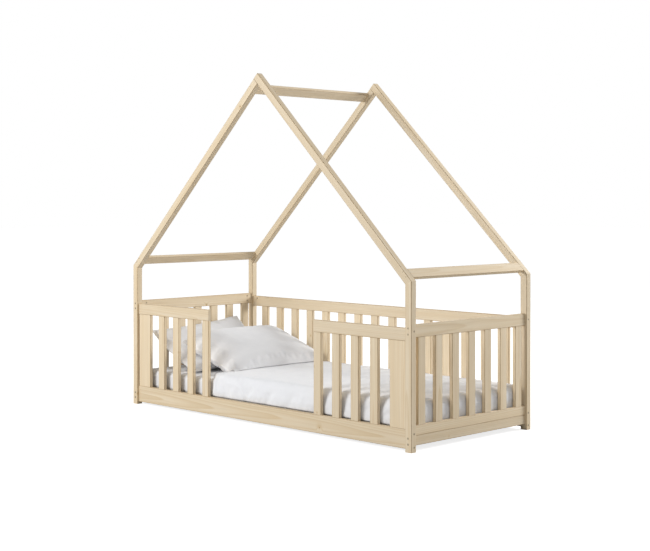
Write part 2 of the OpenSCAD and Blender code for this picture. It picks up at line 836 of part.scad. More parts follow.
// Hardware
module side_rail_bolts() {
    color(steel) at_corners() for (z = side_bolts)
        translate([half_l, -mid_y, z]) rotate([0, -90, 0]) bolt();
}
module end_rail_bolts() {
    color(steel) at_corners() for (z = end_bolts)
        translate([mid_x, -half_w, z]) rotate([-90, 0, 0]) bolt();
}
module side_barrel_nuts() {
    color(steel) at_corners() for (z = side_bolts)
        translate([inner_x - nut_back, -mid_y - nut_l / 2, z]) rotate([-90, 0, 0]) barrel_nut();
}
module end_barrel_nuts() {
    color(steel) at_corners() for (z = end_bolts)
        translate([mid_x - nut_l / 2, -inner_y + nut_back, z]) rotate([90, 0, 90]) barrel_nut();
}
module frame_dowels() {
    color(birch) at_corners() foot_slope() knee_dowels(dowel_d, dowel_l);
    color(birch) foot_slope() peak_dowels(dowel_d, dowel_l);
    color(birch) at_back() foot_slope() peak_dowels(dowel_d, dowel_l);
}
module panel_dowels() {
    color(birch) at_corners() panel_dowel(dowel_d, dowel_l);
}
module roof_board_screws() {
    color(steel) {
        head_slope() board_screws(eave_up, 0);
        head_slope() board_screws(ridge_at, 0);
        foot_slope() board_screws(eave_up, 0);
        at_back() head_slope() board_screws(eave_up, 0);
        at_back() head_slope() board_screws(ridge_at, 0);
        at_back() foot_slope() board_screws(eave_up, 0);
    }
}
module ledger_screws() {
    color(steel) ledger_screw_set(0);
    color(steel) at_back() ledger_screw_set(0);
}
module lath_screws() {
    color(steel) lath_screw_set(0);
    color(steel) at_back() lath_screw_set(0);
}

front_head_post();
front_foot_post();
back_head_post();
back_foot_post();
front_head_rafter();
front_foot_rafter();
back_head_rafter();
back_foot_rafter();
ridge_board();
head_eave_board();
foot_eave_board();
front_side_rail();
back_side_rail();
back_top_rail();
back_slats();
front_head_top_rail();
front_foot_top_rail();
front_head_stile();
front_foot_stile();
at_head() front_slat(0);  // front_head_slat_1
at_head() front_slat(1);  // front_head_slat_2
at_head() front_slat(2);  // front_head_slat_3
at_head() front_slat(3);  // front_head_slat_4
front_slat(0);  // front_foot_slat_1
front_slat(1);  // front_foot_slat_2
front_slat(2);  // front_foot_slat_3
front_slat(3);  // front_foot_slat_4
at_head() end_top_rail();  // head_top_rail
at_head() end_low_rail();  // head_low_rail
at_head() end_base_rail();  // head_base_rail
at_head() end_slat_group();  // head_slats
end_top_rail();  // foot_top_rail
end_low_rail();  // foot_low_rail
end_base_rail();  // foot_base_rail
end_slat_group();  // foot_slats
front_ledger();
back_ledger();
base_laths();
mattress();
fitted_sheet();
duvet();
front_pillow();
back_pillow();
side_rail_bolts();
end_rail_bolts();
side_barrel_nuts();
end_barrel_nuts();
frame_dowels();
panel_dowels();
roof_board_screws();
ledger_screws();
lath_screws();
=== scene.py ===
"""Looks of a low house-frame bed for a child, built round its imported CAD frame.

The boards, rails, posts and fasteners are the CAD nodes themselves: they only get their
materials here. Mattress, fitted sheet, duvet and pillows are built here as soft pieces, in
the space of their CAD solids. Lengths are in metres in the row frame: long sides along X,
head end at -X, entry at -Y, floor at Z = 0.
"""

import json
import logging
import math
from collections.abc import Callable, Iterable, Sequence
from dataclasses import dataclass
from enum import Enum
from typing import Any

import bmesh
import bpy
from mathutils import Euler, Matrix, Vector, noise
from mathutils.bvhtree import BVHTree

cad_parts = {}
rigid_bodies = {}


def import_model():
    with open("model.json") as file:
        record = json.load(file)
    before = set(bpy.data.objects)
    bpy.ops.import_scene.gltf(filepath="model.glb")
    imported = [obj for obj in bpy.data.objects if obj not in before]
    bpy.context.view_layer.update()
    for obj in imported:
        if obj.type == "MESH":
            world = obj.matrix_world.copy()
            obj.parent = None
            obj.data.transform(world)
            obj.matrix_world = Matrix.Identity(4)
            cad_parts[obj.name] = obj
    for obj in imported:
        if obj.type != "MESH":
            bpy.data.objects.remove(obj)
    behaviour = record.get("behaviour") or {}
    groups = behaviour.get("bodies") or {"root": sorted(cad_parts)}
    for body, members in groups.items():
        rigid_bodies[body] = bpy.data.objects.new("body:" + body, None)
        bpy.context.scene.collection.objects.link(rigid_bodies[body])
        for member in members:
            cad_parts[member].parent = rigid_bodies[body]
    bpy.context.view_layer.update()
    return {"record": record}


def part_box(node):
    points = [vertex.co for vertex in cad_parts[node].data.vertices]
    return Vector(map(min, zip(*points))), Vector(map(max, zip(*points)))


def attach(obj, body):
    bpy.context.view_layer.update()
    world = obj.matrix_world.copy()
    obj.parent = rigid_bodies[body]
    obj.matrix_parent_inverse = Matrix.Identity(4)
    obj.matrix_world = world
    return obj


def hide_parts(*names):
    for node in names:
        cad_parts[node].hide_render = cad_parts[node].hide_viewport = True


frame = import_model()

log = logging.getLogger("bed")
Curve = Callable[[float, float, bool], Vector]  # place of a point of a cloth's grid, in either layer
Ground = Callable[[float, float], float]  # height of what lies at a place of the bed
Colour = tuple[float, float, float, float]
Row = tuple[float, float]  # spacing of like boards and width of one, zeros for a single board
Socket = bpy.types.NodeSocket
Sockets = Sequence[Socket]
Material = bpy.types.Material
Piece = bpy.types.Object
Mesh = bmesh.types.BMesh
WHITE: Colour = (1.0, 1.0, 1.0, 1.0)
SINGLE: Row = (0.0, 0.0)

SLOPE = math.radians(44.1)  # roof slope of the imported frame
SLAT_PITCH_BACK = 0.128375  # spacing of the back slats along X
SLAT_PITCH_END = 0.121  # spacing of the end slats along Y
LATH_PITCH = 0.139231  # spacing of the base laths along X
SLAT_WIDTH = 0.050  # width of every fence slat
LATH_WIDTH = 0.070  # width of a base lath
UV_CELL = 0.01  # width of a cell of a cloth's grid in its UVs, about its real one

KNOT_CELL = 0.21  # spacing of the places where a knot may be
KNOT_RADIUS = 0.0042  # radius of the largest knot
LOG_SHIFT = 3.713  # step along the log from one board to the next
LOG_TAPER = 0.011  # growth of the rings' radius along the board, which draws long tongues
WOOD_RELIEF = 0.00003  # height of the grain under the lacquer
FIBRES = (5.0, 380.0, 380.0)  # strands of 0.1 mm, drawn 2.6 mm wide to be seen at all
STREAKS = (1.3, 46.0, 46.0)  # broad streaks, about 20 mm wide


# Small helpers


def linear(colour: str) -> Colour:
    """Turns an sRGB hex colour such as #E8D8BD into linear values and an alpha of 1."""
    parts = [int(colour[i : i + 2], 16) / 255 for i in (1, 3, 5)]
    red, green, blue = (p / 12.92 if p <= 0.04045 else ((p + 0.055) / 1.055) ** 2.4 for p in parts)
    return red, green, blue, 1.0


def smooth(value: float, low: float, high: float) -> float:
    """Returns 0 below low, 1 above high and a smooth step between them."""
    t = min(1.0, max(0.0, (value - low) / (high - low)))
    return t * t * (3 - 2 * t)


def ridge(phase: float) -> float:
    """Returns a wave from -1 to 1 with round crests and narrow valleys."""
    return 2 * abs(math.sin(phase / 2)) ** 0.85 - 1


def overlap(phase: float) -> float:
    """Returns a wave from -1 to 1 that rises slowly and falls steeply, as laid folds do."""
    turn = phase / (2 * math.pi) % 1.0
    return 2 * smooth(turn, 0.0, 0.84) * (1 - smooth(turn, 0.84, 1.0)) - 1


def ripple(x: float, y: float, z: float, seed: float) -> float:
    """Returns smooth noise from -1 to 1 at a point, another field for each seed."""
    return noise.noise(Vector((x + 17.3 * seed, y - 9.1 * seed, z + 5.7 * seed)))


def section(node: str, turn: Matrix) -> tuple[Vector, Vector]:
    """Returns the lowest and highest corner of a CAD node after a turn."""
    spots = [turn @ vertex.co for vertex in bpy.data.objects[node].data.vertices]
    low, high = (Vector([pick(spot[k] for spot in spots) for k in range(3)]) for pick in (min, max))
    return low, high


# Shader nodes


class Shade:
    """Adds nodes to the tree of a material or the world, with their settings and links."""

    def __init__(self, owner: Material | bpy.types.World) -> None:
        """Empties the node tree of its owner."""
        owner.use_nodes = True
        self.owner = owner
        self.tree = owner.node_tree
        self.tree.nodes.clear()

    def add(self, kind: str, inputs: dict[Any, Any] | None = None, **settings: Any) -> bpy.types.Node:
        """Adds one node.

        Args:
            kind: node type without its ShaderNode prefix.
            inputs: for an input's name or number, a value, or the output it is linked to.
            settings: properties of the node.

        Returns:
            The new node.
        """
        node = self.tree.nodes.new("ShaderNode" + kind)
        for name, value in settings.items():
            setattr(node, name, value)
        for key, value in (inputs or {}).items():
            if isinstance(value, Socket):
                self.tree.links.new(value, node.inputs[key])
            else:
                node.inputs[key].default_value = value
        return node

    def math(self, operation: str, first: Any, second: Any = 0.0, third: Any = 0.0) -> Socket:
        """Returns the output of a math node on up to three values or outputs."""
        return self.add("Math", {0: first, 1: second, 2: third}, operation=operation).outputs[0]

    def remap(self, value: Any, low: float, high: float, to_low: float, to_high: float) -> Socket:
        """Returns value moved from one range to another, held inside it, with soft ends."""
        ends = {0: value, 1: low, 2: high, 3: to_low, 4: to_high}
        return self.add("MapRange", ends, interpolation_type="SMOOTHSTEP").outputs[0]

    def scale(self, vector: Any, shares: tuple[float, float, float]) -> Socket:
        """Returns a vector with each part multiplied by its own share."""
        return self.add("VectorMath", {0: vector, 1: shares}, operation="MULTIPLY").outputs[0]

    def mix(self, factor: Any, first: Any, second: Any, blend: str = "MIX") -> Socket:
        """Returns the mix of two colours by a factor."""
        ends = {0: factor, 6: first, 7: second}
        return self.add("Mix", ends, data_type="RGBA", blend_type=blend).outputs[2]

    def shaded(self, colour: Any, value: Any) -> Socket:
        """Returns a colour multiplied by a value, the same for red, green and blue."""
        grey = self.add("CombineColor", {0: value, 1: value, 2: value}).outputs[0]
        return self.mix(1.0, colour, grey, "MULTIPLY")

    def noise(self, vector: Any, scale: float = 1.0, detail: float = 2.0, rough: float = 0.5) -> Socket:
        """Returns noise from 0 to 1 at a vector."""
        inputs = {"Vector": vector, "Scale": scale, "Detail": detail, "Roughness": rough}
        return self.add("TexNoise", inputs).outputs["Fac"]

    def finish(self, bump: tuple[float, Any] | None = None, **inputs: Any) -> Material:
        """Adds the surface and the output.

        Args:
            bump: height of the relief in metres, and its pattern from 0 to 1.
            inputs: inputs of the surface, with _ for each space in their names.

        Returns:
            The material.
        """
        sockets = {name.replace("_", " "): value for name, value in inputs.items()}
        if bump:
            relief = {"Strength": 1.0, "Distance": bump[0], "Height": bump[1]}
            sockets["Normal"] = self.add("Bump", relief).outputs[0]
        surface = self.add("BsdfPrincipled", sockets)
        self.add("OutputMaterial", {"Surface": surface.outputs[0]})
        return self.owner


# Finishes


class Lie(Enum):
    """How a board lies: the direction of its grain, then that of its width."""

    RAIL_X = ((1, 0, 0), (0, 0, 1))
    RAIL_Y = ((0, 1, 0), (0, 0, 1))
    UPRIGHT_X = ((0, 0, 1), (1, 0, 0))
    UPRIGHT_Y = ((0, 0, 1), (0, 1, 0))
    LATH = ((0, 1, 0), (1, 0, 0))
    HEAD_RAFTER = ((math.cos(SLOPE), 0, math.sin(SLOPE)), (-math.sin(SLOPE), 0, math.cos(SLOPE)))
    FOOT_RAFTER = ((-math.cos(SLOPE), 0, math.sin(SLOPE)), (math.sin(SLOPE), 0, math.cos(SLOPE)))
    HEAD_BOARD = ((0, 1, 0), (math.cos(SLOPE), 0, math.sin(SLOPE)))
    FOOT_BOARD = ((0, 1, 0), (math.cos(SLOPE), 0, -math.sin(SLOPE)))

    def turn(self) -> Matrix:
        """Returns the rotation that takes grain, width and thickness to X, Y and Z."""
        grain, width = (Vector(v).normalized() for v in self.value)
        return Matrix((grain, width, grain.cross(width)))


@dataclass(frozen=True)
class WoodFinish:
    """Planed softwood, drawn as a board cut from a log with rings, fibres and knots.

    Fields: name of the material; colours of early wood, late wood and knots as sRGB hex;
    ring spacing in metres; share of the knots that show; roughness of the surface; colour
    of the painted shade along the arrises, and its width in metres.
    """

    name: str
    early: str
    late: str
    knot: str
    ring: float
    knots: float
    roughness: float
    # painted shade: colour of a darker line along every arris, in place of the shading of the rounded edges
    arris_shade: str = "#A98A58"
    arris: float = 0.0032

    def on(self, node: str, lie: Lie, seed: int, row: Row = SINGLE) -> Material:
        """Makes the material of one board, or of a row of like boards.

        Args:
            node: name of the CAD node.
            lie: how it lies.
            seed: number that picks the log, its knots and its tone.
            row: spacing and width of like boards.

        Returns:
            The material.
        """
        shade = Shade(bpy.data.materials.new(f"{self.name}_{node}"))
        place = shade.add("TexCoord").outputs
        turn = lie.turn()
        low, high = section(node, turn)
        half = (high - low) / 2
        mapping = {"Vector": place["Object"], "Location": -(low + high) / 2, "Rotation": turn.to_euler()}
        local = shade.add("Mapping", mapping).outputs[0]
        along, across, deep = shade.add("SeparateXYZ", {0: local}).outputs

        # Each board of a row has a number, which moves its log and changes its tone
        number: Any = float(seed)
        pitch, width = row
        if pitch:
            half.y = width / 2
            steps = shade.math("ROUND", shade.math("DIVIDE", across, pitch))
            across = shade.math("MULTIPLY_ADD", steps, -pitch, across)
            number = shade.math("ADD", steps, float(seed))
        chance = shade.add("TexWhiteNoise", {"W": number}, noise_dimensions="1D").outputs
        picks = shade.add("SeparateColor", {0: chance["Color"]}).outputs
        shift = shade.math("MULTIPLY", number, LOG_SHIFT)
        spot = shade.add("CombineXYZ", {0: shade.math("ADD", along, shift), 1: across, 2: deep}).outputs[0]

        knot = self.nearest_knot(shade, spot)
        late = self.late_wood(shade, spot, (along, across, deep), picks, knot)
        fibre = shade.noise(shade.scale(spot, FIBRES), rough=0.55)

        colour = self.tint(shade, spot, late, picks[2], knot)
        # painted shade: a darker line is mixed in along the arrises, where the rounded edges would be shaded
        edge = self.arris_shade_share(shade, (across, deep), half)
        colour = shade.mix(shade.math("MULTIPLY", edge, 0.75), colour, linear(self.arris_shade))

        value = shade.math("MULTIPLY_ADD", chance["Value"], 0.10, 0.95)
        value = shade.math("MULTIPLY", value, shade.remap(fibre, 0.25, 0.75, 0.965, 1.025))
        value = shade.math("MULTIPLY", value, self.end_share(shade, place["Normal"], lie))
        gloss = shade.remap(fibre, 0.2, 0.8, self.roughness - 0.05, self.roughness + 0.06)
        relief = shade.math("MULTIPLY_ADD", late, 0.5, shade.math("MULTIPLY", fibre, 0.5))
        colour = shade.shaded(colour, value)
        return shade.finish(bump=(WOOD_RELIEF, relief), Base_Color=colour, Roughness=gloss, IOR=1.5)

    def nearest_knot(self, shade: Shade, spot: Socket) -> Sockets:
        """Gives the radius of the nearest knot, 0 for most, and the distance from its rim."""
        flat = shade.add("VectorMath", {0: spot, 3: 1 / KNOT_CELL}, operation="SCALE").outputs[0]
        knot = shade.add("TexVoronoi", {"Vector": flat, "Scale": 1.0}, voronoi_dimensions="2D").outputs
        luck = shade.add("SeparateColor", {0: knot["Color"]}).outputs[0]
        size = shade.remap(luck, 1 - self.knots, 1.0, 0.0, KNOT_RADIUS)
        away = shade.math("MULTIPLY", knot["Distance"], KNOT_CELL)
        return size, shade.math("SUBTRACT", away, size)

    def late_wood(self, shade: Shade, spot: Socket, parts: Sockets, picks: Any, knot: Sockets) -> Socket:
        """Draws the rings: the distance from a pith beside the board, which wanders along it.

        Args:
            shade: the material.
            spot: place in the log.
            parts: place along, across and deep in the board.
            picks: random numbers from 0 to 1 that place the pith.
            knot: radius of the nearest knot, which pushes the rings aside, and distance from it.

        Returns:
            Share of late wood, which rises slowly through each ring and ends sharply.
        """
        along, across, deep = parts
        size, near = knot
        reach = shade.remap(near, 0.0, 0.03, 1.0, 0.0)
        swirl = shade.math("MULTIPLY", reach, shade.math("MULTIPLY", size, 1.6))
        wander = shade.math("MULTIPLY", shade.noise(shade.scale(spot, (1.1, 9.0, 9.0))), 0.016)
        pith_y = shade.math("MULTIPLY_ADD", picks[0], 0.11, -0.055)
        pith_z = shade.math("MULTIPLY_ADD", picks[1], 0.05, 0.022)
        side = shade.math("POWER", shade.math("SUBTRACT", across, pith_y), 2.0)
        back = shade.math("POWER", shade.math("ADD", deep, pith_z), 2.0)
        radius = shade.math("SQRT", shade.math("ADD", side, back))
        radius = shade.math("ADD", shade.math("ADD", radius, wander), swirl)
        radius = shade.math("MULTIPLY_ADD", along, LOG_TAPER, radius)
        ring = shade.math("FRACT", shade.math("DIVIDE", radius, self.ring))
        rise = shade.math("POWER", ring, 2.2)
        return shade.math("MULTIPLY", rise, shade.remap(ring, 0.9, 1.0, 1.0, 0.0))

    def tint(self, shade: Shade, spot: Socket, late: Socket, pick: Socket, knot: Sockets) -> Socket:
        """Mixes the colours of early wood, late wood and knots.

        Args:
            shade: the material.
            spot: place in the log.
            late: share of late wood.
            pick: random number from 0 to 1 that says how strong the board's rings are.
            knot: radius of the nearest knot and the distance from its rim.

        Returns:
            The colour.
        """
        size, near = knot
        dark = linear(self.late)
        strength = shade.math("MULTIPLY_ADD", pick, 0.5, 0.45)
        colour = shade.mix(shade.math("MULTIPLY", late, strength), linear(self.early), dark)
        streak = shade.noise(shade.scale(spot, STREAKS), detail=3.0, rough=0.6)
        colour = shade.mix(shade.remap(streak, 0.3, 0.75, 0.0, 0.45), colour, dark)
        there = shade.remap(size, 0.0, 0.001, 0.0, 1.0)
        halo = shade.math("MULTIPLY", shade.remap(near, 0.0, 0.011, 1.0, 0.0), there)
        colour = shade.mix(halo, colour, dark)
        core = shade.remap(near, -0.0012, 0.0006, 1.0, 0.0)
        return shade.mix(shade.math("MULTIPLY", core, 0.8), colour, linear(self.knot))

    def arris_shade_share(self, shade: Shade, parts: Sockets, half: Vector) -> Socket:
        """Gives the share of the painted shade: a thin dark line along the arrises, standing in for the
        shading of the rounded edges.
        """
        to_side = shade.math("SUBTRACT", shade.math("ABSOLUTE", parts[0]), half.y)
        to_face = shade.math("SUBTRACT", shade.math("ABSOLUTE", parts[1]), half.z)
        nearer = shade.math("MINIMUM", to_side, to_face)
        return shade.remap(nearer, -self.arris, -self.arris / 3, 0.0, 1.0)

    @staticmethod
    def end_share(shade: Shade, normal: Socket, lie: Lie) -> Socket:
        """Gives the brightness of a face: cut ends drink the lacquer and look darker."""
        grain = Vector(lie.value[0]).normalized()
        facing = shade.add("VectorMath", {0: normal, 1: grain}, operation="DOT_PRODUCT").outputs["Value"]
        return shade.remap(shade.math("ABSOLUTE", facing), 0.8, 0.95, 1.0, 0.84)


@dataclass(frozen=True)
class SteelFinish:
    """Plated steel of the bolts, nuts and screws.

    Fields: name of the material, colour as sRGB hex, roughness of the plating.
    """

    name: str
    colour: str
    roughness: float

    def make(self) -> Material:
        """Makes the material, with the faint cloudiness of a plated surface."""
        shade = Shade(bpy.data.materials.new(self.name))
        place = shade.add("TexCoord").outputs["Object"]
        cloud = shade.noise(place, 160.0, 3.0)
        gloss = shade.remap(cloud, 0.3, 0.7, self.roughness - 0.07, self.roughness + 0.07)
        return shade.finish(Base_Color=linear(self.colour), Metallic=1.0, Roughness=gloss)


class Weave(Enum):
    """How the cloth is drawn: spacing of its threads in metres, and depth of its relief."""

    PERCALE = (0.0014, 0.00012)
    JERSEY = (0.0022, 0.00020)
    TICKING = (0.0030, 0.00030)


@dataclass(frozen=True)
class ClothFinish:
    """Washed cotton cloth with its weave and the small creases of use.

    Fields: name of the material, colour as sRGB hex, weave, depth of the creases in metres,
    strength of the fuzz, whether the cloth's own UVs carry the weave.
    """

    name: str
    colour: str
    weave: Weave
    crease: float
    fuzz: float
    laid: bool = True

    def make(self) -> Material:
        """Makes the material. Threads are drawn five times coarser, and a wave spans two."""
        shade = Shade(bpy.data.materials.new(self.name))
        place = shade.add("TexCoord").outputs["UV" if self.laid else "Object"]
        thread, depth = self.weave.value
        wave = {"Vector": place, "Scale": math.pi / (20 * thread), "Distortion": 1.2, "Detail Scale": 2.0}
        rows = [shade.add("TexWave", wave, bands_direction=axis).outputs["Fac"] for axis in ("X", "Y")]
        cloth = shade.math("MULTIPLY", *rows)
        soft = shade.noise(place, 22.0, 4.0, 0.55)
        crests = {"Vector": place, "Scale": 9.0, "Detail": 3.0, "Roughness": 0.5, "Distortion": 0.6}
        crumple = shade.add("TexNoise", crests, noise_type="RIDGED_MULTIFRACTAL").outputs["Fac"]
        millimetre = 0.001
        relief = shade.math("MULTIPLY", soft, 0.7 * self.crease / millimetre)
        relief = shade.math("MULTIPLY_ADD", crumple, 0.9 * self.crease / millimetre, relief)
        relief = shade.math("MULTIPLY_ADD", cloth, depth / millimetre, relief)
        return shade.finish(
            bump=(millimetre, relief),
            Base_Color=shade.shaded(linear(self.colour), shade.remap(soft, 0.3, 0.7, 0.975, 1.0)),
            Roughness=0.92,
            Sheen_Weight=self.fuzz,
            Sheen_Roughness=0.5,
            IOR=1.45,
        )


# Frame and base


@dataclass(frozen=True)
class Woodwork:
    """Boards of one finish, each cut from its own log.

    Fields: name for the messages, finish, seed of the first board and step to the next one's.
    """

    name: str
    finish: WoodFinish
    seed: int
    step: int

    @staticmethod
    def lie(node: str) -> tuple[Lie, Row]:
        """Reads from a CAD node's name how its boards lie, and their spacing and width."""
        if node.endswith("rafter"):
            return (Lie.HEAD_RAFTER if "head" in node else Lie.FOOT_RAFTER), SINGLE
        if node in ("ridge_board", "head_eave_board"):
            return Lie.HEAD_BOARD, SINGLE
        if node == "foot_eave_board":
            return Lie.FOOT_BOARD, SINGLE
        if "lath" in node:
            return Lie.LATH, (LATH_PITCH, LATH_WIDTH)
        if node == "back_slats":
            return Lie.UPRIGHT_X, (SLAT_PITCH_BACK, SLAT_WIDTH)
        if node in ("head_slats", "foot_slats"):
            return Lie.UPRIGHT_Y, (SLAT_PITCH_END, SLAT_WIDTH)
        if "post" in node or "slat" in node or "stile" in node:
            return Lie.UPRIGHT_X, SINGLE
        lengthwise = node.startswith(("front", "back")) or "dowel" in node
        return (Lie.RAIL_X if lengthwise else Lie.RAIL_Y), SINGLE

    def dress(self, nodes: Sequence[str]) -> None:
        """Gives each of the named CAD nodes its own material."""
        for count, node in enumerate(nodes):
            lie, row = self.lie(node)
            paint(node, self.finish.on(node, lie, self.seed + self.step * count, row))
            log.info("%s: %s, grain %s", self.name, node, lie.name)


def paint(node: str, material: Material) -> None:
    """Puts a material on every slot of the named CAD node."""
    piece = bpy.data.objects[node]
    if not piece.material_slots:
        piece.data.materials.append(material)
    for slot in piece.material_slots:
        slot.material = material


# Soft pieces


class Soft:
    """A soft piece that stands in the space of its CAD solid."""

    node: str
    slot: str = "bedding_cotton"

    def place(self, mesh: Mesh, material: Material) -> Piece:
        """Makes the piece of a finished mesh, which it frees, and binds it to the frame."""
        bmesh.ops.recalc_face_normals(mesh, faces=mesh.faces)
        for face in mesh.faces:
            face.smooth = True
        data = bpy.data.meshes.new(self.node + "_cloth")
        mesh.to_mesh(data)
        mesh.free()
        data.materials.append(material)
        piece = bpy.data.objects.new(self.node + "_cloth", data)
        bpy.context.scene.collection.objects.link(piece)
        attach(piece, "root")
        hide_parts(self.node)
        return piece

    @staticmethod
    def smoothing(piece: Piece) -> None:
        """Adds one level of subdivision to a piece, the same in view and render."""
        smoother = piece.modifiers.new("smoothing", "SUBSURF")
        smoother.levels = smoother.render_levels = 1

    def report(self, piece: Piece) -> None:
        """Logs the size of a finished piece."""
        faces = len(piece.data.polygons)
        log.info("soft: %s, %.3f x %.3f x %.3f m, %d faces", piece.name, *piece.dimensions, faces)


@dataclass(frozen=True)
class Swell:
    """How a filled cloth swells in the simulation.

    Fields: pressure inside, growth of the cloth as a share, stiffness against bending,
    greatest way that a point may move in metres.
    """

    pressure: float
    growth: float
    bending: float
    limit: float

    FRAMES = 20  # length of the simulation
    QUALITY = 6  # steps of the solver in a frame
    MASS = 0.15  # of a vertex, in kg
    STRETCH = 30  # stiffness against stretching and squeezing
    SHEAR = 12  # stiffness against shearing
    DAMPING = 12  # of stretching, squeezing and shearing
    AIR = 4  # damping by the air

    def run(self, piece: Piece, held: Iterable[int]) -> None:
        """Simulates the cloth and keeps the result in the mesh.

        Args:
            piece: the piece, without modifiers.
            held: numbers of the vertices that stay where they are.
        """
        start = [v.co.copy() for v in piece.data.vertices]
        group = piece.vertex_groups.new(name="held")
        group.add(list(held), 1.0, "REPLACE")
        cloth = piece.modifiers.new("cloth", "CLOTH")
        settings = cloth.settings
        settings.quality = self.QUALITY
        settings.mass = self.MASS
        settings.tension_stiffness = settings.compression_stiffness = self.STRETCH
        settings.shear_stiffness = self.SHEAR
        settings.bending_stiffness = self.bending
        settings.tension_damping = settings.compression_damping = settings.shear_damping = self.DAMPING
        settings.air_damping = self.AIR
        settings.use_pressure = True
        settings.uniform_pressure_force = self.pressure
        settings.shrink_min = settings.shrink_max = -self.growth
        settings.effector_weights.gravity = 0
        settings.vertex_group_mass = "held"
        cloth.collision_settings.use_collision = False
        cloth.point_cache.frame_start = 1
        cloth.point_cache.frame_end = self.FRAMES
        scene = bpy.context.scene
        for number in range(1, self.FRAMES + 1):
            scene.frame_set(number)
        graph = bpy.context.evaluated_depsgraph_get()
        moved = [v.co.copy() for v in piece.evaluated_get(graph).data.vertices]
        piece.modifiers.remove(cloth)
        piece.vertex_groups.remove(group)
        scene.frame_set(1)
        for vertex, before, after in zip(piece.data.vertices, start, moved):
            way = after - before
            if way.length > self.limit:
                way *= self.limit / way.length
            vertex.co = before + way


def padded_slab(cells: tuple[int, int], shape: Curve) -> tuple[Mesh, list[bool]]:
    """Makes a closed two-layer cloth from a grid of cells.

    Args:
        cells: number of cells in the two directions.
        shape: gives the place of a point from its numbers in the grid and its layer.

    Returns:
        The mesh, and for each vertex whether it is in the upper layer.
    """
    mesh = bmesh.new()
    bmesh.ops.create_grid(mesh, x_segments=cells[0], y_segments=cells[1], size=0.5)
    count = len(mesh.verts)
    rim = [edge.link_loops[0] for edge in mesh.edges if edge.is_boundary]
    above = bmesh.ops.duplicate(mesh, geom=list(mesh.faces))["vert_map"]
    # An extrusion would add the sides in another order each run, and the cloth's creases would vary
    for loop in rim:
        here, there = loop.vert, loop.link_loop_next.vert
        mesh.faces.new((here, there, above[there], above[here]))
    mesh.verts.index_update()
    layers = [vertex.index >= count for vertex in mesh.verts]
    uv = mesh.loops.layers.uv.new("cloth")
    flat = {v.index: ((v.co.x + 0.5) * cells[0], (v.co.y + 0.5) * cells[1]) for v in mesh.verts}
    for vertex, top in zip(mesh.verts, layers):
        vertex.co = shape(*flat[vertex.index], top)
    for face in mesh.faces:
        for loop in face.loops:
            i, j = flat[loop.vert.index]
            loop[uv].uv = (i * UV_CELL, j * UV_CELL)
    return mesh, layers


